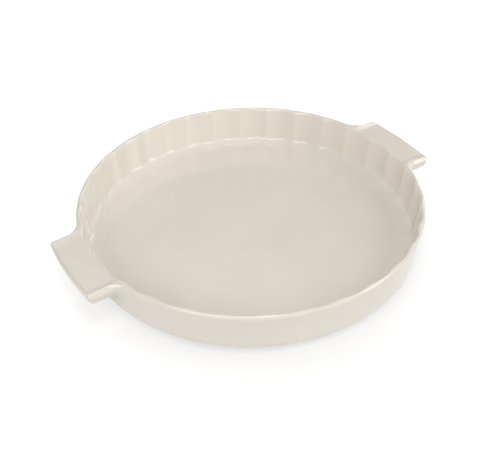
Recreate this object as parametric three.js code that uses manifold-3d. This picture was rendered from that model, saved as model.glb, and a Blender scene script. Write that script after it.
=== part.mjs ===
// Round tart dish in glazed stoneware: a fluted bowl with a flat tab handle on each side.
// Millimetres, +Z up. The origin is the middle of the foot, on the table, and +X runs along
// the handles, so the right handle lies at +X and the left handle at -X.

import * as THREE from 'three';
import { mergeVertices } from 'three/addons/utils/BufferGeometryUtils.js';
import Module from 'manifold-3d';

const wasm = await Module();
wasm.setup();

const { clamp, degToRad, lerp } = THREE.MathUtils;

// Bowl
const rimRadius = 150; // outside of the rim
const dishHeight = 43; // table to the crest of the rim
const wallLean = degToRad(6.1); // how far the wall opens out from upright
const wallThickness = 5.5; // across a ridge between two flutes
const heelRound = 14.5; // outside rounding from the wall down to the foot

// Floor and foot
const floorThickness = 5.4;
const wallFillet = 4.5; // inside rounding at the foot of the wall
const floorFillet = 22; // gentler rounding that runs it out onto the floor
const floorFilletTurn = degToRad(22); // how far the gentler rounding turns
const footWidth = 8; // flat ring that the dish stands on
const footDepth = 2.6; // how far the underside is hollowed inside the foot
const footSlope = 2; // run of the slanted step from the foot up into the hollow

// Flutes pressed into the inside of the wall, one of them centred on each handle
const fluteCount = 32;
const fluteDepth = 2.1;
const ridgeSoftness = 0.22; // 0 gives sharp ridges between the flutes, 1 a smooth wave

// Handles
const handleOverhang = 22.1; // rim to the middle of a handle's outer edge
const handleWidth = 79.8; // at its widest, a little below the top
const handleThickness = 11.7; // crest of the rim down to a handle's flat underside
const handleCorner = 3.5; // rounding of the outer corners, seen from above
const handleRoot = 13; // hollow rounding where a handle's sides run into the wall
const tipRadius = 330; // sweep of a handle's outer edge, seen from above
const swellDrop = 4.6; // crest of the rim down to a handle's widest outline
const sideDraft = 0.6; // how far the sides draw in below that outline
const undersideRound = 2.6;

// Top of a handle: a shallow thumb dip between two side ridges
const ridgeInset = 3.2; // how far a side leans in, from the widest outline up to its ridge
const ridgeTipInset = 1.5; // the same at the outer edge
const ridgeCorner = 1.2; // rounding of the outer corners at that level
const topDroop = 1.4; // how far the ridges come down towards the outer edge
const dipAtRim = 1.6; // depth of the dip where it crosses the rim
const dipAtTip = 1.3; // and at the outer edge
const dipFlank = 7.7; // run of the dip's floor up to a ridge

// Joint between a handle and the bowl
const rootLand = 1.5; // stub of the handle that is formed on the bowl's own wall
const seamGap = 0.3; // slip-filled joint between that stub and the handle

// Fineness of the round stretches
const stepsPerFlute = 6;
const rimSteps = 4; // in each half of the rim
const filletSteps = 3;
const heelSteps = 5;
const tipSteps = 4; // in half of a handle's outer edge
const cornerSteps = 4;
const rootSteps = 6;
const dipSteps = 3; // up each flank of the dip

const UPRIGHT = Math.PI / 2;
const glaze = { color: 0xe5ded1, roughness: 0.22, metalness: 0 };

// Solids and meshes

function solidOf(geometry) {
  geometry.deleteAttribute('normal');
  geometry.deleteAttribute('uv');
  const merged = mergeVertices(geometry, 1e-4);
  const vertProperties = new Float32Array(merged.attributes.position.array);
  const triVerts = new Uint32Array(merged.index.array);
  return new wasm.Manifold(new wasm.Mesh({ numProp: 3, vertProperties, triVerts }));
}

function meshOf(name, solid) {
  const { vertProperties, triVerts } = solid.getMesh();
  const geometry = new THREE.BufferGeometry();
  geometry.setAttribute('position', new THREE.BufferAttribute(vertProperties, 3));
  geometry.setIndex(new THREE.BufferAttribute(triVerts, 1));
  geometry.computeVertexNormals();
  const mesh = new THREE.Mesh(geometry, new THREE.MeshStandardMaterial(glaze));
  mesh.name = name;
  return mesh;
}

// Points on an arc, both ends included. Angles run from +R (or +X) towards +Z (or +Y).
function arc(centre, radius, from, to, steps) {
  const points = [];
  for (let i = 0; i <= steps; i++) {
    const angle = from + ((to - from) * i) / steps;
    points.push({
      angle,
      x: centre.x + radius * Math.cos(angle),
      y: centre.y + radius * Math.sin(angle),
    });
  }
  return points;
}

// Levels and centres that the bowl and its handles share

const rimRound = wallThickness / 2; // the rim is a full round over a ridge
const rimCentre = { x: rimRadius - rimRound, y: dishHeight - rimRound };
const floorLevel = footDepth + floorThickness;
const swellLevel = dishHeight - swellDrop;
const undersideLevel = dishHeight - handleThickness;
const dipFloor = handleWidth / 2 - ridgeInset - dipFlank; // half of the dip's flat width

// Radius, at a given height, of a line that runs beside the wall at this offset from its middle.
function radiusBesideWall(offset, height) {
  const rise = height - rimCentre.y;
  return rimCentre.x + (offset + Math.sin(wallLean) * rise) / Math.cos(wallLean);
}

// Depth of the thumb dip below the ridges. Out runs from 0 at the rim to 1 at the outer edge.
function thumbDip(out, y) {
  const side = clamp((Math.abs(y) - dipFloor) / dipFlank, 0, 1);
  return lerp(dipAtRim, dipAtTip, out) * (1 - side ** 2);
}

// Bowl: a revolved profile whose inside wall is pressed out into flutes

const heelCentre = { x: radiusBesideWall(rimRound - heelRound, heelRound), y: heelRound };
const footInner = heelCentre.x - footWidth;

const filletStep = floorFillet - wallFillet; // between the centres of the two inside roundings
const filletHeight = floorLevel + floorFillet - filletStep * Math.cos(floorFilletTurn);
const filletCentre = { x: radiusBesideWall(-rimRound - wallFillet, filletHeight), y: filletHeight };
const gentleCentre = {
  x: filletCentre.x - filletStep * Math.sin(floorFilletTurn),
  y: floorLevel + floorFillet,
};

function bowlProfile() {
  const plain = ({ x, y }) => ({ r: x, z: y, flute: 0, dip: 0 });
  const onRim = ({ angle, x, y }) => ({ r: x, z: y, flute: Math.max(0, -Math.cos(angle)), dip: 1 });
  const fluted = ({ x, y }) => ({ r: x, z: y, flute: 1, dip: 0 });
  const filletEnd = floorFilletTurn - UPRIGHT;
  return [
    plain({ x: 0, y: footDepth }),
    plain({ x: footInner - footSlope, y: footDepth }),
    plain({ x: footInner, y: 0 }),
    ...arc(heelCentre, heelRound, -UPRIGHT, -wallLean, heelSteps).map(plain),
    ...arc(rimCentre, rimRound, -wallLean, UPRIGHT, rimSteps).map(onRim),
    ...arc(rimCentre, rimRound, UPRIGHT, Math.PI - wallLean, rimSteps).slice(1).map(onRim),
    ...arc(filletCentre, wallFillet, -wallLean, filletEnd, filletSteps).map(fluted),
    ...arc(gentleCentre, floorFillet, filletEnd, -UPRIGHT, filletSteps).slice(1).map(fluted),
    plain({ x: 0, y: floorLevel }),
  ];
}

// 0 on a ridge between two flutes, 1 along the middle of a flute.
function fluteShape(angle) {
  const wave = Math.cos((fluteCount * angle) / 2);
  const softened = Math.sqrt(wave * wave + ridgeSoftness * ridgeSoftness);
  return (softened - ridgeSoftness) / (Math.sqrt(1 + ridgeSoftness * ridgeSoftness) - ridgeSoftness);
}

function flutedBowl() {
  const profile = bowlProfile();
  const outline = profile.map(({ r, z }) => new THREE.Vector2(r, z));
  const lathe = new THREE.LatheGeometry(outline, fluteCount * stepsPerFlute);
  lathe.rotateX(UPRIGHT);
  const position = lathe.attributes.position;
  for (let i = 0; i < position.count; i++) {
    const { r, z, flute, dip } = profile[i % profile.length];
    const angle = Math.atan2(position.getY(i), position.getX(i));
    const pressed = r + fluteDepth * flute * fluteShape(angle);
    const drop = dip * thumbDip(0, r * Math.sin(angle));
    position.setXYZ(i, pressed * Math.cos(angle), pressed * Math.sin(angle), z - drop);
  }
  return solidOf(lathe);
}

// Handle: cross-sections from the outer edge back into the wall, lofted into a tab

// Half of the tab seen from above, from the middle of its outer edge to its root on the wall.
function tabOutline(wall, tipInset, sideInset, corner) {
  const tipCentre = { x: wall + handleOverhang - tipRadius, y: 0 };
  const tip = tipRadius - tipInset;
  const cornerY = handleWidth / 2 - sideInset - corner;
  const cornerRun = Math.sqrt((tip - corner) ** 2 - cornerY ** 2);
  const cornerCentre = { x: tipCentre.x + cornerRun, y: cornerY };
  const cornerTurn = Math.atan2(cornerY, cornerRun);
  const rootY = handleWidth / 2 + handleRoot;
  const rootCentre = { x: Math.sqrt((wall + handleRoot) ** 2 - rootY ** 2), y: rootY };
  const rootTurn = Math.atan2(rootCentre.y, rootCentre.x);
  return [
    ...arc(tipCentre, tip, 0, cornerTurn, tipSteps),
    ...arc(cornerCentre, corner, cornerTurn, UPRIGHT, cornerSteps).slice(1),
    ...arc(rootCentre, handleRoot + sideInset, -UPRIGHT, rootTurn - Math.PI, rootSteps),
  ];
}

// Height of the tab's top: its ridges droop outwards, with the thumb dip between them.
function topHeight(x, y) {
  const out = clamp((x - rimCentre.x) / (rimRadius + handleOverhang - rimCentre.x), 0, 1);
  return dishHeight - topDroop * (1 - (1 - out) ** 2) - thumbDip(out, y);
}

// Half outlines from the ridge round the top, out to the swell and down to the underside.
function tabOutlines() {
  const flank = [1, 0.7, 0.35, 0].map((rise) => {
    const lean = rise ** 1.5;
    const corner = lerp(handleCorner, ridgeCorner, lean);
    const outline = tabOutline(rimRadius, ridgeTipInset * lean, ridgeInset * lean, corner);
    return outline.map(({ x, y }) => ({ x, y, z: lerp(swellLevel, topHeight(x, y), rise) }));
  });
  const edgeCentre = { x: sideDraft + undersideRound, y: undersideLevel + undersideRound };
  const edge = arc(edgeCentre, undersideRound, Math.PI, Math.PI * 1.5, filletSteps);
  const lower = edge.map(({ x: inset, y: level }) => {
    const outline = tabOutline(radiusBesideWall(rimRound, level), inset, inset, handleCorner);
    return outline.map(({ x, y }) => ({ x, y, z: level }));
  });
  return [...flank, ...lower];
}

// Places across the top where a section has points, as shares of its half width.
function acrossTop() {
  const floorShare = dipFloor / (dipFloor + dipFlank);
  const upFlank = Array.from({ length: dipSteps }, (_, i) => lerp(floorShare, 1, i / dipSteps));
  return [...upFlank.map((share) => -share).reverse(), 0, ...upFlank];
}

function tab() {
  const outlines = tabOutlines();
  const sections = outlines[0].map((ridge, row) => {
    const top = acrossTop().map((share) => [ridge.x, ridge.y * share, topHeight(ridge.x, ridge.y * share)]);
    const side = outlines.map((outline) => outline[row]);
    const otherSide = side.slice().reverse();
    return [...top, ...side.map(({ x, y, z }) => [x, y, z]), ...otherSide.map(({ x, y, z }) => [x, -y, z])];
  });
  const count = sections[0].length;
  const index = [];
  for (let row = 0; row + 1 < sections.length; row++) {
    for (let j = 0; j < count; j++) {
      const here = row * count + j;
      const beside = row * count + ((j + 1) % count);
      index.push(here, beside, here + count, beside, beside + count, here + count);
    }
  }
  const last = sections[sections.length - 1].map(([, y, z]) => new THREE.Vector2(y, z));
  const base = (sections.length - 1) * count;
  for (const [a, b, c] of THREE.ShapeUtils.triangulateShape(last, [])) {
    index.push(base + a, base + c, base + b);
  }
  const geometry = new THREE.BufferGeometry();
  geometry.setAttribute('position', new THREE.Float32BufferAttribute(sections.flat(2), 3));
  geometry.setIndex(index);
  return solidOf(geometry);
}

// Upright round core that reaches past the top and the bottom of the dish.
function core(radius) {
  const geometry = new THREE.CylinderGeometry(radius, radius, dishHeight * 3, fluteCount * stepsPerFlute);
  geometry.rotateX(UPRIGHT);
  return solidOf(geometry);
}

const wholeTab = tab().subtract(core(rimCentre.x));
const stub = wholeTab.intersect(core(rimRadius + rootLand));
const handle = wholeTab.subtract(core(rimRadius + rootLand + seamGap));

const dish = new THREE.Group();
dish.add(meshOf('dish_body', flutedBowl().add(stub).add(stub.rotate([0, 0, 180]))));
dish.add(meshOf('right_handle', handle));

const leftHandle = meshOf('left_handle', handle);
leftHandle.rotation.z = Math.PI;
dish.add(leftHandle);

export default dish;
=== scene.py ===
"""A round tart dish in glazed stoneware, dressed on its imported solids. Metres, +Z up."""

import math

import bpy
import numpy as np
from mathutils import Matrix, Vector


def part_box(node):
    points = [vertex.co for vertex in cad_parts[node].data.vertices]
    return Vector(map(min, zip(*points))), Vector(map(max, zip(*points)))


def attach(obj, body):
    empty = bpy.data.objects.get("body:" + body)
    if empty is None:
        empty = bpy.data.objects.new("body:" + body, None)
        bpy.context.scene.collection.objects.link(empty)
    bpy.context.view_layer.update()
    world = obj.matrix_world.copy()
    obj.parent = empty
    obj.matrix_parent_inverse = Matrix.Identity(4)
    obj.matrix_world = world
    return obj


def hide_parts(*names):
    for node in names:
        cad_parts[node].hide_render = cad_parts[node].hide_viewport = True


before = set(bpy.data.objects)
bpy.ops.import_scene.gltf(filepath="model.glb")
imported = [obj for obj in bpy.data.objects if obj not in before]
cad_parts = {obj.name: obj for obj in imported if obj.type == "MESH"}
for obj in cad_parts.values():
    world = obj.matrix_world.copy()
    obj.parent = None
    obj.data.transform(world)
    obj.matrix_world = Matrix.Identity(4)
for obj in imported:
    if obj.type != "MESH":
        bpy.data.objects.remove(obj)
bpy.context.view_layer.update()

# Bowl, outside
# The bowl is pressed from stoneware clay over a mould: a hollowed underside inside a flat foot
# ring, a wide rounded heel, and a smooth wall that leans outwards to a full-round rim.

body_low, body_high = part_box("dish_body")
rim_radius = body_high.y
dish_height = body_high.z
table_level = body_low.z
wall_lean = math.radians(6.1)
wall_thickness = 0.0055
heel_round = 0.0145
heel_steps = 12
foot_width = 0.008
foot_depth = 0.0026
foot_step = 0.002
foot_edge_round = 0.0009
foot_edge_steps = 4
flat_shares = (0.04, 0.3, 0.6, 0.85)
upright = math.pi / 2

rim_round = wall_thickness / 2
crest_radius = rim_radius - rim_round
rim_centre_z = dish_height - rim_round


def radius_beside_wall(offset, z):
    """Radius at height z of a line that runs beside the wall, this far out from its middle."""
    return crest_radius + (offset + math.sin(wall_lean) * (z - rim_centre_z)) / math.cos(wall_lean)


def arc(centre, radius, start, end, steps):
    """Points of an arc in a plane, such as the half plane of the bowl's profile."""
    angle = np.linspace(start, end, steps + 1)
    return np.array(centre) + radius * np.stack([np.cos(angle), np.sin(angle)], axis=1)


def eased_corner(before, corner, after, radius, steps):
    """Points of the arc that rounds one corner of a profile."""
    corner = np.array(corner)
    to_before = np.array(before) - corner
    to_after = np.array(after) - corner
    to_before = to_before / np.linalg.norm(to_before)
    to_after = to_after / np.linalg.norm(to_after)
    half_turn = math.acos(float(to_before @ to_after)) / 2
    middle = (to_before + to_after) / np.linalg.norm(to_before + to_after)
    centre = corner + middle * radius / math.sin(half_turn)
    first = corner + to_before * radius / math.tan(half_turn) - centre
    last = corner + to_after * radius / math.tan(half_turn) - centre
    start = math.atan2(first[1], first[0])
    swing = math.atan2(first[0] * last[1] - first[1] * last[0], float(first @ last))
    return arc(centre, radius, start, start + swing, steps)


heel_centre = (radius_beside_wall(rim_round - heel_round, heel_round), heel_round)
foot_outer = heel_centre[0]
foot_inner = foot_outer - foot_width
hollow_middle = (0.0, foot_depth)
hollow_edge = (foot_inner - foot_step, foot_depth)
foot_inner_edge = (foot_inner, table_level)
foot_outer_edge = (foot_outer, table_level)

underside_profile = np.concatenate([
    [(foot_inner * share, foot_depth) for share in flat_shares],
    eased_corner(hollow_middle, hollow_edge, foot_inner_edge, foot_edge_round, foot_edge_steps),
    eased_corner(hollow_edge, foot_inner_edge, foot_outer_edge, foot_edge_round, foot_edge_steps),
    [((foot_inner + foot_outer) / 2, table_level)],
    arc(heel_centre, heel_round, -upright, -wall_lean, heel_steps),
])

# Handles
# Two tabs are luted to the wall just under the rim and smoothed into it with hollow roots. Each
# has a shallow thumb dip between two low side ridges, and is widest a little below them.

handle_low, handle_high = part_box("right_handle")
handle_reach = handle_high.x
handle_underside = handle_low.z
handle_half_width = 0.0399
handle_corner = 0.0035
handle_root = 0.013
tip_radius = 0.33
swell_drop = 0.0046
side_draft = 0.0006
ridge_inset = 0.0032
ridge_tip_inset = 0.0015
ridge_corner = 0.0012
ridge_round = 0.0007
ridge_droop = 0.0014
dip_at_rim = 0.0016
dip_at_tip = 0.0013
dip_flank = 0.0077
underside_round = 0.0026
underside_fillet = 0.004
full_tab_jut = 0.009
tip_steps = 20
corner_steps = 16
side_steps = 7
root_steps = 18

swell_level = dish_height - swell_drop
root_y = handle_half_width + handle_root
root_x = math.sqrt((rim_radius + handle_root) ** 2 - root_y ** 2)
root_turn = math.atan2(root_y, root_x)


def tab_outline(tip_inset, side_inset, corner):
    """Half of a handle's outline seen from above, from the middle of its tip to its root on the rim.

    It is drawn in by these insets, and comes with the direction that is outwards at each point.
    """
    tip_centre = np.array((handle_reach - tip_radius, 0.0))
    tip = tip_radius - tip_inset
    half_width = handle_half_width - side_inset
    corner_run = math.sqrt((tip - corner) ** 2 - (half_width - corner) ** 2)
    corner_centre = tip_centre + (corner_run, half_width - corner)
    corner_turn = math.atan2(half_width - corner, corner_run)
    root_centre = np.array((root_x, root_y))
    root = handle_root + side_inset
    side_start = (corner_centre[0], half_width)
    side_end = (root_x, half_width)
    tip_line = arc(tip_centre, tip, 0.0, corner_turn, tip_steps)
    corner_line = arc(corner_centre, corner, corner_turn, upright, corner_steps)[1:]
    side_line = np.linspace(side_start, side_end, side_steps + 1)[1:-1]
    root_line = arc(root_centre, root, -upright, root_turn - math.pi, root_steps)
    outwards = [
        (tip_line - tip_centre) / tip,
        (corner_line - corner_centre) / corner,
        np.tile((0.0, 1.0), (len(side_line), 1)),
        (root_centre - root_line) / root,
    ]
    return np.concatenate([tip_line, corner_line, side_line, root_line]), np.concatenate(outwards)


half_swell, half_outwards = tab_outline(0.0, 0.0, handle_corner)
half_ridge, half_ridge_outwards = tab_outline(ridge_tip_inset, ridge_inset, ridge_corner)
half_bearing = root_turn * np.linspace(0.0, 1.0, len(half_swell))
half_spoke = np.stack([np.cos(half_bearing), np.sin(half_bearing)], axis=1)

# Between the handles the rim has evenly spaced points, a fixed number to each of the wall's flutes.
flute_count = 32
steps_per_flute = 24
steps_round = flute_count * steps_per_flute
bearing_step = 2 * math.pi / steps_round
first_step = math.ceil(root_turn / bearing_step + 0.5)
between = bearing_step * np.arange(first_step, steps_round // 2 - first_step + 1)
between_spoke = np.stack([np.cos(between), np.sin(between)], axis=1)


def all_round(half, middle):
    """Joins half a handle's values, the rim's beside it and their mirrored copies into a ring."""
    side = np.concatenate([half, middle, half[:0:-1] * (-1, 1)])
    return np.concatenate([side, -side])


spoke = all_round(half_spoke, between_spoke)
swell = all_round(half_swell, rim_radius * between_spoke)
outwards = all_round(half_outwards, between_spoke)
ridge = all_round(half_ridge, (rim_radius - ridge_inset) * between_spoke)
ridge_outwards = all_round(half_ridge_outwards, between_spoke)


def eased(share):
    """A share from 0 to 1 that starts and ends gently."""
    share = np.clip(share, 0.0, 1.0)
    return share * share * (3 - 2 * share)


tab_share = eased(np.linalg.norm(swell - rim_radius * spoke, axis=1) / full_tab_jut)
base = swell - outwards * (side_draft * tab_share)[:, None]
jut = base - rim_radius * spoke
jut_length = np.linalg.norm(jut, axis=1)


def handle_top(plan):
    """Height of a handle's top: it droops outwards, and dips between its side ridges."""
    out = np.clip((np.abs(plan[:, 0]) - crest_radius) / (handle_reach - crest_radius), 0.0, 1.0)
    droop = ridge_droop * (1 - (1 - out) ** 2)
    dip = dip_at_rim + (dip_at_tip - dip_at_rim) * out
    dip_floor = handle_half_width - ridge_inset - dip_flank
    side = np.clip((np.abs(plan[:, 1]) - dip_floor) / dip_flank, 0.0, 1.0)
    return dish_height - droop - dip * (1 - side ** 2)


# Skin of the whole dish
# The fired glaze has no seam, so one skin covers the bowl and both handles: rings of points from
# the middle of the underside, out over the heel, up the wall, round the handles and over the rim.

# Low on the outer wall the glaze is painted paler, partly as a glaze run and partly as painted light
# bounced up from the sweep.
glaze_run_top = 0.034
glaze_run = 0.026
outside_run_and_painted_light = 0.25
low_wall_steps = 5
rings = []
flute_shares = []
painted_light_and_shade_shares = []


def add_ring(plan, z, flute=0.0, painted_light_and_shade=None):
    """Adds one ring of points, with its share of the flutes' depth and of the painted light and shade.

    A share below zero darkens the glaze towards bare clay: painted shade along the handles' ridges and
    the rim's crest. A share above zero makes it paler: painted light on the inner wall, bounced from the
    floor. A ring without one is on the outside, where it is paler low on the wall, partly as glaze that
    runs down as it melts and partly as painted light bounced up from the sweep.
    """
    count = len(spoke)
    heights = np.broadcast_to(np.asarray(z, float), (count,))
    if painted_light_and_shade is None:
        painted_light_and_shade = outside_run_and_painted_light * np.clip((glaze_run_top - heights) / glaze_run, 0.0, 1.0)
    rings.append(np.column_stack([plan, heights]))
    flute_shares.append(np.broadcast_to(np.asarray(flute, float), (count,)))
    painted_light_and_shade_shares.append(np.broadcast_to(np.asarray(painted_light_and_shade, float), (count,)))


for radius, z in underside_profile:
    add_ring(radius * spoke, z)

wall_foot_z = underside_profile[-1][1]
handle_fade_z = handle_underside - underside_fillet
for z in np.linspace(wall_foot_z, handle_fade_z, low_wall_steps + 1)[1:-1]:
    add_ring(radius_beside_wall(rim_round, z) * spoke, z)

# The handle's underside, from its fillet on the wall to the rounding at its lower edge. Where
# the wall has no handle these rings climb it evenly.
largest_jut_share = 0.45
fillet_steps = 6
underside_steps = 5
lower_edge_steps = 7
lower_side_steps = 4
fillet = np.minimum(underside_fillet, largest_jut_share * jut_length)
under = np.minimum(underside_round, largest_jut_share * jut_length)
handle_run = []
for angle in np.linspace(0.0, upright, fillet_steps + 1):
    fillet_z = handle_underside - fillet * (1 - math.sin(angle))
    handle_run.append((fillet * (1 - math.cos(angle)), fillet_z))
for share in np.linspace(0.0, 1.0, underside_steps + 1)[1:-1]:
    flat = np.full_like(fillet, handle_underside)
    handle_run.append((fillet + (jut_length - under - fillet) * share, flat))
for angle in np.linspace(-upright, 0.0, lower_edge_steps + 1):
    out = jut_length - under * (1 - math.cos(angle))
    handle_run.append((out, handle_underside + under * (1 + math.sin(angle))))

wall_top_z = rim_centre_z - rim_round * math.sin(wall_lean)
wall_levels = np.linspace(handle_fade_z, wall_top_z, len(handle_run) + lower_side_steps)
for wall_z, (out, tab_z) in zip(wall_levels, handle_run):
    z = wall_z + (tab_z - wall_z) * tab_share
    share_out = out / np.maximum(jut_length, 1e-9)
    add_ring(radius_beside_wall(rim_round, z)[:, None] * spoke + jut * share_out[:, None], z)

# The handle's side swells out to its widest outline, then leans in to the ridge round its top.
side_foot_z = handle_run[-1][1]
for level, wall_z in enumerate(wall_levels[len(handle_run):], 1):
    rise = level / lower_side_steps
    tab_z = side_foot_z + (swell_level - side_foot_z) * rise
    z = wall_z + (tab_z - wall_z) * tab_share
    wall_plan = radius_beside_wall(rim_round, wall_z) * spoke + (swell - rim_radius * spoke)
    tab_plan = base + (swell - base) * (1 - (1 - rise) ** 2)
    add_ring(wall_plan + (tab_plan - wall_plan) * tab_share[:, None], z)

crest = crest_radius * spoke
ridge_z = handle_top(ridge)
inside_ridge = ridge - ridge_outwards * ridge_round
flank_softness = 0.3
flank_end = 0.85
flank_steps = 6
ridge_steps = 4
top_steps = 12
tab_rings = []


def flank_point(rise):
    """Points this share of the way up the flank, from the widest outline to the ridge."""
    full = math.sqrt(1 + flank_softness ** 2) - flank_softness
    share = (math.sqrt(rise ** 2 + flank_softness ** 2) - flank_softness) / full
    return swell + (ridge - swell) * share, swell_level + (ridge_z - swell_level) * rise


for rise in np.linspace(0.0, flank_end, flank_steps + 1)[1:]:
    flank_plan, flank_z = flank_point(rise)
    tab_rings.append((flank_plan, flank_z, 0.0))
for bend in np.linspace(0.0, 1.0, ridge_steps + 1)[1:]:
    weights = ((1 - bend) ** 2, 2 * bend * (1 - bend), bend ** 2)
    plan = weights[0] * flank_plan + weights[1] * ridge + weights[2] * inside_ridge
    z = weights[0] * flank_z + weights[1] * ridge_z + weights[2] * handle_top(inside_ridge)
    tab_rings.append((plan, z, 4 * bend * (1 - bend)))
edge_rings = len(tab_rings)
for share in np.linspace(0.0, 1.0, top_steps + 1)[1:]:
    plan = inside_ridge + (crest - inside_ridge) * share
    tab_rings.append((plan, handle_top(plan), 0.0))

# On the plain rim the same rings go round the outer half of its section. The flutes run out over
# it, so that it stays full-round where they make the wall thinner, and its inner edge is scalloped.
near_crest = 1.25
# Painted shade: these darken the handles' ridge lines and the plain rim's crest towards bare clay.
ridge_thinning_and_shade = 0.8
crest_thinning_and_shade = 0.3


def across_rim(angle):
    """Share of the flutes' depth at an angle of the rim's section: none outside, all inside."""
    return (1 - math.cos(angle)) / 2


rim_angles = np.concatenate([
    np.linspace(-wall_lean, near_crest, edge_rings + 1)[1:],
    np.linspace(near_crest, upright, top_steps + 1)[1:],
])
for k, (angle, (tab_plan, tab_z, ridge_line)) in enumerate(zip(rim_angles, tab_rings), 1):
    rim_plan = swell - outwards * (rim_round * (1 - math.cos(angle)))
    rim_z = rim_centre_z + rim_round * math.sin(angle)
    plan = rim_plan + (tab_plan - rim_plan) * tab_share[:, None]
    tab_flute = across_rim(upright) * eased((k - edge_rings) / top_steps)
    flute = across_rim(angle) + (tab_flute - across_rim(angle)) * tab_share
    on_crest = np.clip((angle - near_crest) / (upright - near_crest), 0.0, 1.0)
    # Painted shade along the handles' ridges and the plain rim's crest.
    thinned_and_shaded = ridge_thinning_and_shade * ridge_line * tab_share + crest_thinning_and_shade * on_crest * (1 - tab_share)
    add_ring(plan, rim_z + (tab_z - rim_z) * tab_share, flute, -thinned_and_shaded)

# Bowl, inside
# The inside of the wall drops from the rim to a wide fillet and a flat floor. The mould's
# flutes are pressed into it from the rim down to the edge of the floor.

floor_thickness = 0.0054
wall_fillet = 0.0045
wall_fillet_steps = 9
floor_fillet = 0.022
floor_fillet_turn = math.radians(22)
floor_fillet_steps = 6
inner_rim_steps = 9
inner_wall_steps = 8
floor_edge_share = 0.96
flutes_end_share = 0.85

floor_z = foot_depth + floor_thickness
fillet_z = floor_z + floor_fillet - (floor_fillet - wall_fillet) * math.cos(floor_fillet_turn)
fillet_centre = np.array((radius_beside_wall(-rim_round - wall_fillet, fillet_z), fillet_z))
to_gentle = np.array((-math.sin(floor_fillet_turn), math.cos(floor_fillet_turn)))
gentle_centre = fillet_centre + (floor_fillet - wall_fillet) * to_gentle
floor_radius = gentle_centre[0]
rim_dip = dish_height - rings[-1][:, 2]

for angle in np.linspace(upright, math.pi - wall_lean, inner_rim_steps + 1)[1:]:
    radius = crest_radius + rim_round * math.cos(angle)
    z = rim_centre_z + rim_round * math.sin(angle) - rim_dip
    inwards = -math.cos(angle)
    # Painted shade on the crest, giving way to paler glaze, painted light, down the inner side.
    painted_crest_shade = -crest_thinning_and_shade * (1 - tab_share)
    add_ring(radius * spoke, z, across_rim(angle), painted_crest_shade + (1 - painted_crest_shade) * inwards)

inner_top_z = rim_centre_z + rim_round * math.sin(wall_lean)
fillet_end = floor_fillet_turn - upright
fillet_profile = np.concatenate([
    arc(fillet_centre, wall_fillet, -wall_lean, fillet_end, wall_fillet_steps),
    arc(gentle_centre, floor_fillet, fillet_end, -upright, floor_fillet_steps)[1:],
])
fillet_top_z = fillet_profile[0][1]
# The inner wall has the full share of paler glaze, painted light bounced from the floor, which fades out
# down the fillet to the floor.
for share in np.linspace(1.0, 0.0, inner_wall_steps + 1)[1:-1]:
    z = fillet_top_z + (inner_top_z - rim_dip - fillet_top_z) * share
    add_ring(radius_beside_wall(-rim_round, z)[:, None] * spoke, z, 1.0, 1.0)
for radius, z in fillet_profile:
    add_ring(radius * spoke, z, 1.0, np.clip((z - floor_z) / wall_fillet, 0.0, 1.0))
for share in (floor_edge_share, *reversed(flat_shares)):
    fading = eased((share - flutes_end_share) / (1 - flutes_end_share))
    add_ring(floor_radius * share * spoke, floor_z, fading, 0.0)

# The rings are joined into one closed skin, with a point in the middle of each flat end.
around = len(spoke)
points = np.concatenate(rings + [[(0.0, 0.0, foot_depth)], [(0.0, 0.0, floor_z)]])
under_centre = around * len(rings)
floor_centre = under_centre + 1
here = np.arange(around)
beside = (here + 1) % around
faces = [(under_centre, j, i) for i, j in zip(here, beside)]
for k in range(len(rings) - 1):
    a, b = k * around, (k + 1) * around
    faces += [(a + i, a + j, b + j, b + i) for i, j in zip(here, beside)]
last = around * (len(rings) - 1)
faces += [(last + i, last + j, floor_centre) for i, j in zip(here, beside)]

skin = bpy.data.meshes.new("glazed_dish")
skin.from_pydata(points.tolist(), [], [tuple(int(v) for v in face) for face in faces])
for name, shares in (("flute", flute_shares), ("painted_light_and_shade", painted_light_and_shade_shares)):
    share_of = skin.attributes.new(name, "FLOAT", "POINT")
    share_of.data.foreach_set("value", np.append(np.concatenate(shares), (0.0, 0.0)))
dish = bpy.data.objects.new("glazed_dish", skin)
bpy.context.scene.collection.objects.link(dish)

# Glaze
# An ecru glaze, dipped and fired glossy over stoneware. It is painted paler on the inner wall and low
# on the outer wall as painted bounced light, pools in hollows, thins on ridges, and is painted darker on
# the handles' ridges and the rim's crest as painted shade, with a faint mottle, specks and a ripple.
# The flat of the foot is wiped bare before firing, so that it can't stick to the kiln shelf.

ecru = (0.708, 0.668, 0.593, 1.0)
ecru_clouded = (0.682, 0.638, 0.561, 1.0)
paler_glaze_and_painted_light = (0.802, 0.756, 0.671, 1.0)
glaze_pooled = (0.755, 0.716, 0.643, 1.0)
glaze_thinned = (0.650, 0.596, 0.512, 1.0)
iron_speck = (0.36, 0.27, 0.18, 1.0)
biscuit_pale = (0.60, 0.53, 0.44, 1.0)
# The darker biscuit also colours the painted shade on the ridges and crest.
biscuit_dark_and_edge_shade = (0.50, 0.43, 0.35, 1.0)
glaze_ior = 1.62

glaze = bpy.data.materials.new("ecru_glaze")
glaze.use_nodes = True
glaze_tree = glaze.node_tree


def socket_named(sockets, name):
    """The socket of this name, or of this number, that a node has in use."""
    if isinstance(name, int):
        return sockets[name]
    return next(socket for socket in sockets if socket.enabled and socket.name == name)


def add_step(tree, kind, inputs, output, **options):
    """Adds one node to a tree, links or sets its inputs, and returns one of its outputs."""
    step = tree.nodes.new(kind)
    for option, value in options.items():
        setattr(step, option, value)
    for name, value in inputs.items():
        socket = socket_named(step.inputs, name)
        if isinstance(value, bpy.types.NodeSocket):
            tree.links.new(value, socket)
        else:
            socket.default_value = value
    return socket_named(step.outputs, output)


def arithmetic(tree, operation, first, second=0.0):
    """Adds one step of arithmetic to a tree and returns its result."""
    return add_step(tree, "ShaderNodeMath", {0: first, 1: second}, "Value", operation=operation)


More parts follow.
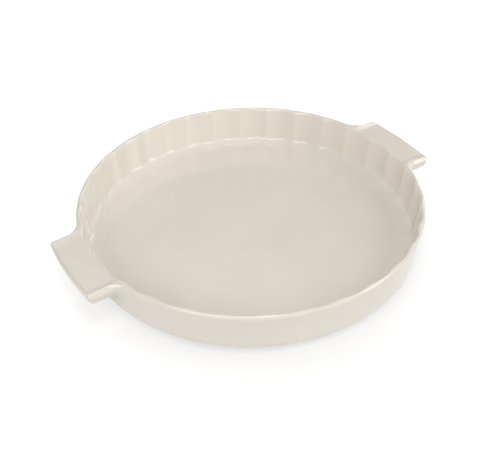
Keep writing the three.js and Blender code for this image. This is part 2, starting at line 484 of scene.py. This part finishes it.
def cloud(size, detail):
    """Soft random patches of about this size all over the glaze, as values round a half."""
    inputs = {"Vector": on_the_dish, "Scale": 1.0 / size, "Detail": detail}
    return add_step(glaze_tree, "ShaderNodeTexNoise", inputs, "Fac")


def ranged(value, low, high, at_low, at_high):
    """Turns a range of values into another range, and stops at its ends."""
    inputs = {"Value": value, "From Min": low, "From Max": high, "To Min": at_low, "To Max": at_high}
    return add_step(value.id_data, "ShaderNodeMapRange", inputs, "Result")


def tinted(share, plain, tint):
    """Mixes a share of a tint into a colour."""
    inputs = {"Factor": share, "A": plain, "B": tint}
    return add_step(share.id_data, "ShaderNodeMix", inputs, "Result", data_type="RGBA")


on_the_dish = add_step(glaze_tree, "ShaderNodeTexCoord", {}, "Object")
relief = add_step(glaze_tree, "ShaderNodeAttribute", {}, "Fac", attribute_name="relief")
painted_light_and_shade = add_step(glaze_tree, "ShaderNodeAttribute", {}, "Fac", attribute_name="painted_light_and_shade")

# Colour: clouds, a fine mottle, painted light and shade, pooled hollows, thin glaze on edges, and a
# few specks of iron from the clay.
patch_low = 0.35
patch_high = 0.65
mottle_low = 0.3
mottle_high = 0.7
cloud_size = 0.055
cloud_tint = 0.7
mottle_size = 0.0011
mottle_tint = 0.3
pool_starts = -0.00002
pool_full = -0.0003
pool_tint = 0.35
thinning_starts = 0.00015
thinning_full = 0.0007
thinning_tint = 0.18
bare_and_shaded_edge_tint = 0.7
mottle = cloud(mottle_size, detail=2.0)
clouds = ranged(cloud(cloud_size, detail=3.0), patch_low, patch_high, 0.0, cloud_tint)
mottling = ranged(mottle, mottle_low, mottle_high, 0.0, mottle_tint)
clouding = arithmetic(glaze_tree, "ADD", clouds, mottling)
colour = tinted(clouding, ecru, ecru_clouded)
# Painted light: paler glaze on the inner wall and low on the outer wall.
colour = tinted(painted_light_and_shade, colour, paler_glaze_and_painted_light)
colour = tinted(ranged(relief, pool_starts, pool_full, 0.0, pool_tint), colour, glaze_pooled)
colour = tinted(ranged(relief, thinning_starts, thinning_full, 0.0, thinning_tint), colour, glaze_thinned)
# Painted shade: darker towards bare clay along the handles' ridges and the rim's crest.
colour = tinted(ranged(painted_light_and_shade, 0.0, -1.0, 0.0, bare_and_shaded_edge_tint), colour, biscuit_dark_and_edge_shade)

speck_spacing = 0.008
speck_chance_from = 0.5
speck_chance_full = 0.85
speck_radius_share = 0.035
speck_edge_share = 0.012
speck_tint = 0.5
speck_cells = {"Vector": on_the_dish, "Scale": 1.0 / speck_spacing}
speck_distance = add_step(glaze_tree, "ShaderNodeTexVoronoi", speck_cells, "Distance")
speck_chance = add_step(glaze_tree, "ShaderNodeTexVoronoi", speck_cells, "Color")
speck_size = ranged(speck_chance, speck_chance_from, speck_chance_full, 0.0, speck_radius_share)
speck_depth = arithmetic(glaze_tree, "SUBTRACT", speck_size, speck_distance)
specks = ranged(speck_depth, 0.0, speck_edge_share, 0.0, speck_tint)
colour = tinted(specks, colour, iron_speck)

# Surface: a slow ripple and a finer orange peel left by the melt, with pinholes at the specks.
ripple_size = 0.016
ripple_height = 0.00022
peel_size = 0.0032
peel_share = 0.1
pinhole_share = 0.25
sheen_smooth = 0.05
sheen_mottled = 0.09
peel = arithmetic(glaze_tree, "MULTIPLY", cloud(peel_size, detail=1.0), peel_share)
pinholes = arithmetic(glaze_tree, "MULTIPLY", specks, pinhole_share)
surface = arithmetic(glaze_tree, "ADD", cloud(ripple_size, detail=1.0), peel)
surface = arithmetic(glaze_tree, "SUBTRACT", surface, pinholes)
gloss = ranged(mottle, mottle_low, mottle_high, sheen_smooth, sheen_mottled)

# Foot: bare biscuit with a ragged edge, where the glaze was wiped off.
bare_foot_height = 0.0006
bare_foot_fades = bare_foot_height * 1.3
ragged_size = 0.004
grit_size = 0.0007
bare_roughness = 0.7
height = add_step(glaze_tree, "ShaderNodeSeparateXYZ", {"Vector": on_the_dish}, "Z")
ragged = arithmetic(glaze_tree, "MULTIPLY", cloud(ragged_size, detail=2.0), bare_foot_height)
ragged_height = arithmetic(glaze_tree, "ADD", height, ragged)
bare = ranged(ragged_height, bare_foot_fades, bare_foot_height, 0.0, 1.0)
grit = cloud(grit_size, detail=3.0)
biscuit = tinted(ranged(grit, patch_low, patch_high, 0.0, 1.0), biscuit_pale, biscuit_dark_and_edge_shade)
colour = tinted(bare, colour, biscuit)
gloss = arithmetic(glaze_tree, "ADD", gloss, arithmetic(glaze_tree, "MULTIPLY", bare, bare_roughness))
surface = arithmetic(glaze_tree, "ADD", surface, arithmetic(glaze_tree, "MULTIPLY", bare, grit))

glaze_shader = glaze_tree.nodes["Principled BSDF"]
glaze_shader.inputs["IOR"].default_value = glaze_ior
rippled = {"Strength": 1.0, "Distance": ripple_height, "Height": surface}
rippled_normal = add_step(glaze_tree, "ShaderNodeBump", rippled, "Normal")
glaze_tree.links.new(colour, glaze_shader.inputs["Base Color"])
glaze_tree.links.new(gloss, glaze_shader.inputs["Roughness"])
glaze_tree.links.new(rippled_normal, glaze_shader.inputs["Normal"])

# Flutes
# The mould has thirty-two shallow flutes with soft ridges between them, one flute centred on each
# handle, so they are pressed into the skin by their count, depth and softness. The skin then keeps
# its relief, above or below its surroundings, which is where the glaze thins or pools.

flute_depth = 0.0021
ridge_softness = 0.12
relief_reach = 14

press = bpy.data.node_groups.new("press_flutes", "GeometryNodeTree")
press.is_modifier = True


def press_input(name, kind):
    """Adds a named input to the tree that presses the flutes."""
    return press.interface.new_socket(name, in_out="INPUT", socket_type=kind)


press_input("Geometry", "NodeSocketGeometry")
count_socket = press_input("Flute Count", "NodeSocketInt")
depth_socket = press_input("Flute Depth", "NodeSocketFloat")
soft_socket = press_input("Ridge Softness", "NodeSocketFloat")
reach_socket = press_input("Relief Reach", "NodeSocketInt")
finish_socket = press_input("Finish", "NodeSocketMaterial")
press.interface.new_socket("Geometry", in_out="OUTPUT", socket_type="NodeSocketGeometry")
given = press.nodes.new("NodeGroupInput").outputs

# The flutes' section is a wave whose sharp ridges are softened, and it pushes the skin outwards.
place = add_step(press, "GeometryNodeInputPosition", {}, "Position")
place_x = add_step(press, "ShaderNodeSeparateXYZ", {"Vector": place}, "X")
place_y = add_step(press, "ShaderNodeSeparateXYZ", {"Vector": place}, "Y")
turn = arithmetic(press, "ARCTAN2", place_y, place_x)
half_count = arithmetic(press, "DIVIDE", given["Flute Count"], 2.0)
wave = arithmetic(press, "COSINE", arithmetic(press, "MULTIPLY", turn, half_count))
wave_square = arithmetic(press, "MULTIPLY", wave, wave)
softness = given["Ridge Softness"]
soft_square = arithmetic(press, "MULTIPLY", softness, softness)
softened = arithmetic(press, "SQRT", arithmetic(press, "ADD", wave_square, soft_square))
deepest = arithmetic(press, "SQRT", arithmetic(press, "ADD", soft_square, 1.0))
above_ridge = arithmetic(press, "SUBTRACT", softened, softness)
scallop = arithmetic(press, "DIVIDE", above_ridge, arithmetic(press, "SUBTRACT", deepest, softness))
flute_share = {"Name": "flute"}
mask = add_step(press, "GeometryNodeInputNamedAttribute", flute_share, "Attribute", data_type="FLOAT")
amount = arithmetic(press, "MULTIPLY", arithmetic(press, "MULTIPLY", scallop, mask), given["Flute Depth"])
pushed = {
    "X": arithmetic(press, "MULTIPLY", arithmetic(press, "COSINE", turn), amount),
    "Y": arithmetic(press, "MULTIPLY", arithmetic(press, "SINE", turn), amount),
}
offset = add_step(press, "ShaderNodeCombineXYZ", pushed, "Vector")
shape = {"Geometry": given["Geometry"], "Offset": offset}
shape = {"Geometry": add_step(press, "GeometryNodeSetPosition", shape, "Geometry")}
shape = {"Geometry": add_step(press, "GeometryNodeSetShadeSmooth", shape, "Geometry")}

# The relief is how far each point stands out from the average of the points around it.
nearby = {"Value": place, "Iterations": given["Relief Reach"]}
levelled = add_step(press, "GeometryNodeBlurAttribute", nearby, "Value", data_type="FLOAT_VECTOR")
apart = {0: place, 1: levelled}
stands_out = add_step(press, "ShaderNodeVectorMath", apart, "Vector", operation="SUBTRACT")
along = {0: stands_out, 1: add_step(press, "GeometryNodeInputNormal", {}, "Normal")}
stored = add_step(press, "ShaderNodeVectorMath", along, "Value", operation="DOT_PRODUCT")
shape |= {"Name": "relief", "Value": stored}
kept = add_step(press, "GeometryNodeStoreNamedAttribute", shape, "Geometry", domain="POINT")
realized = add_step(press, "GeometryNodeRealizeInstances", {"Geometry": kept}, "Geometry")
shape = {"Geometry": realized, "Material": given["Finish"]}
finished = add_step(press, "GeometryNodeSetMaterial", shape, "Geometry")
press.links.new(finished, press.nodes.new("NodeGroupOutput").inputs["Geometry"])

pressing = dish.modifiers.new("flutes", "NODES")
pressing.node_group = press
pressing[count_socket.identifier] = flute_count
pressing[depth_socket.identifier] = flute_depth
pressing[soft_socket.identifier] = ridge_softness
pressing[reach_socket.identifier] = relief_reach
pressing[finish_socket.identifier] = glaze
pressed = dish.evaluated_get(bpy.context.evaluated_depsgraph_get())
dish.data = bpy.data.meshes.new_from_object(pressed)
dish.modifiers.clear()

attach(dish, "root")
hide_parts("dish_body", "left_handle", "right_handle")

# Stage
# A white sweep under the dish, which bounces light as white paint does. What looks at it, straight or
# in a reflection, sees a greyer paint with a lift of its own light, least under the dish and close in
# front of it, where the smaller lift paints part of the shadow. So it looks plain white, with a soft
# shadow that is partly cast and partly painted.

sweep_radius = 4.0
sweep_sides = 96
sweep_white = (0.9, 0.9, 0.9, 1.0)
sweep_seen = (0.3, 0.3, 0.3, 1.0)
sweep_roughness = 0.9
sweep_lift_in_painted_shadow = 0.59
sweep_lift_far = 0.85
shadow_middle = (-0.01, -0.03, 0.0)
lift_starts = 0.115
lift_ends = 0.2


def looked_at(tree):
    """Adds the steps that tell whether a ray looks at a thing, or only gathers its light."""
    straight = add_step(tree, "ShaderNodeLightPath", {}, "Is Camera Ray")
    in_gloss = add_step(tree, "ShaderNodeLightPath", {}, "Is Glossy Ray")
    through = add_step(tree, "ShaderNodeLightPath", {}, "Is Transmission Ray")
    return arithmetic(tree, "MAXIMUM", straight, arithmetic(tree, "MAXIMUM", in_gloss, through))


bpy.ops.mesh.primitive_circle_add(vertices=sweep_sides, radius=sweep_radius, fill_type="NGON")
sweep = bpy.context.object
sweep.name = "white_sweep"
sweep_paint = bpy.data.materials.new("white_sweep")
sweep_paint.use_nodes = True
sweep_tree = sweep_paint.node_tree
seen = looked_at(sweep_tree)
on_the_sweep = add_step(sweep_tree, "ShaderNodeTexCoord", {}, "Object")
from_shadow = {0: on_the_sweep, 1: shadow_middle}
away = add_step(sweep_tree, "ShaderNodeVectorMath", from_shadow, "Value", operation="DISTANCE")
# The smaller lift near the dish paints part of its shadow.
lift = ranged(away, lift_starts, lift_ends, sweep_lift_in_painted_shadow, sweep_lift_far)
seen_lift = arithmetic(sweep_tree, "MULTIPLY", seen, lift)
sweep_shader = sweep_tree.nodes["Principled BSDF"]
sweep_shader.inputs["Roughness"].default_value = sweep_roughness
sweep_shader.inputs["Specular IOR Level"].default_value = 0.0
sweep_shader.inputs["Emission Strength"].default_value = 1.0
sweep_tree.links.new(tinted(seen, sweep_white, sweep_seen), sweep_shader.inputs["Base Color"])
sweep_tree.links.new(seen_lift, sweep_shader.inputs["Emission Color"])
sweep.data.materials.append(sweep_paint)

# Light
# Two large softboxes at the sides of the camera, a small one high over the front of the dish and a tall
# one at its right, in a grey room with a low white backdrop. Bearings go round the dish from its front,
# towards its right handle.

room_light = (0.42, 0.42, 0.42, 1.0)
backdrop_white = (1.0, 1.0, 1.0, 1.0)
backdrop_full = 0.04
backdrop_ends = 0.1


def facing_dish(azimuth, elevation):
    """Direction from the dish at a bearing and a height, both in degrees."""
    bearing, height = math.radians(azimuth), math.radians(elevation)
    level = math.cos(height)
    return Vector((math.sin(bearing) * level, -math.cos(bearing) * level, math.sin(height)))


def softbox(name, azimuth, elevation, distance, width, height, radiance):
    """Hangs a rectangular lamp that faces the dish, with its brightness per unit of area."""
    lamp = bpy.data.lights.new(name, "AREA")
    lamp.shape = "RECTANGLE"
    lamp.size = width
    lamp.size_y = height
    lamp.energy = radiance * math.pi * width * height
    fitting = bpy.data.objects.new(name, lamp)
    fitting.location = facing_dish(azimuth, elevation) * distance
    fitting.rotation_euler = (-fitting.location).to_track_quat("-Z", "Y").to_euler()
    bpy.context.scene.collection.objects.link(fitting)


softbox("right_softbox", 44, 31, distance=1.4, width=0.6, height=1.1, radiance=3.25)
softbox("left_softbox", -60, 39, distance=1.4, width=0.8, height=0.7, radiance=3.35)
softbox("overhead_softbox", -25, 67, distance=1.3, width=0.42, height=0.35, radiance=9.0)
softbox("side_softbox", 114, 32, distance=1.4, width=0.4, height=0.8, radiance=2.0)

surround = bpy.data.worlds.new("studio_room")
surround.use_nodes = True
room_tree = surround.node_tree
room_direction = add_step(room_tree, "ShaderNodeTexCoord", {}, "Generated")
room_rise = add_step(room_tree, "ShaderNodeSeparateXYZ", {"Vector": room_direction}, "Z")
backdrop = ranged(room_rise, backdrop_full, backdrop_ends, 1.0, 0.0)
backdrop = arithmetic(room_tree, "MULTIPLY", backdrop, looked_at(room_tree))
room_colour = tinted(backdrop, room_light, backdrop_white)
room_tree.links.new(room_colour, room_tree.nodes["Background"].inputs["Color"])
bpy.context.scene.world = surround
bpy.context.scene.view_settings.view_transform = "Standard"

# Camera
# The photograph's view: from the front left of the dish, looking down at its floor. The focal length
# is given in pixels of the picture's width.

image_width = 493
focal_pixels = 795.95
camera_aim = Vector((-0.01445, -0.01563, 0.015))
camera_distance = 0.69195
camera_azimuth = -31.71
camera_elevation = 39.26
camera_roll = math.radians(-1.18)

camera = bpy.data.cameras.new("camera")
camera.sensor_width = 36.0
camera.lens = focal_pixels * camera.sensor_width / image_width
camera.clip_start = 0.01
camera_back = facing_dish(camera_azimuth, camera_elevation)
camera_place = Matrix.Translation(camera_aim + camera_back * camera_distance)
camera_level = (-camera_back).to_track_quat("-Z", "Y").to_matrix()
camera_turn = camera_level @ Matrix.Rotation(camera_roll, 3, "Z")
camera_stand = bpy.data.objects.new("camera", camera)
camera_stand.matrix_world = camera_place @ camera_turn.to_4x4()
bpy.context.scene.collection.objects.link(camera_stand)
bpy.context.scene.camera = camera_stand
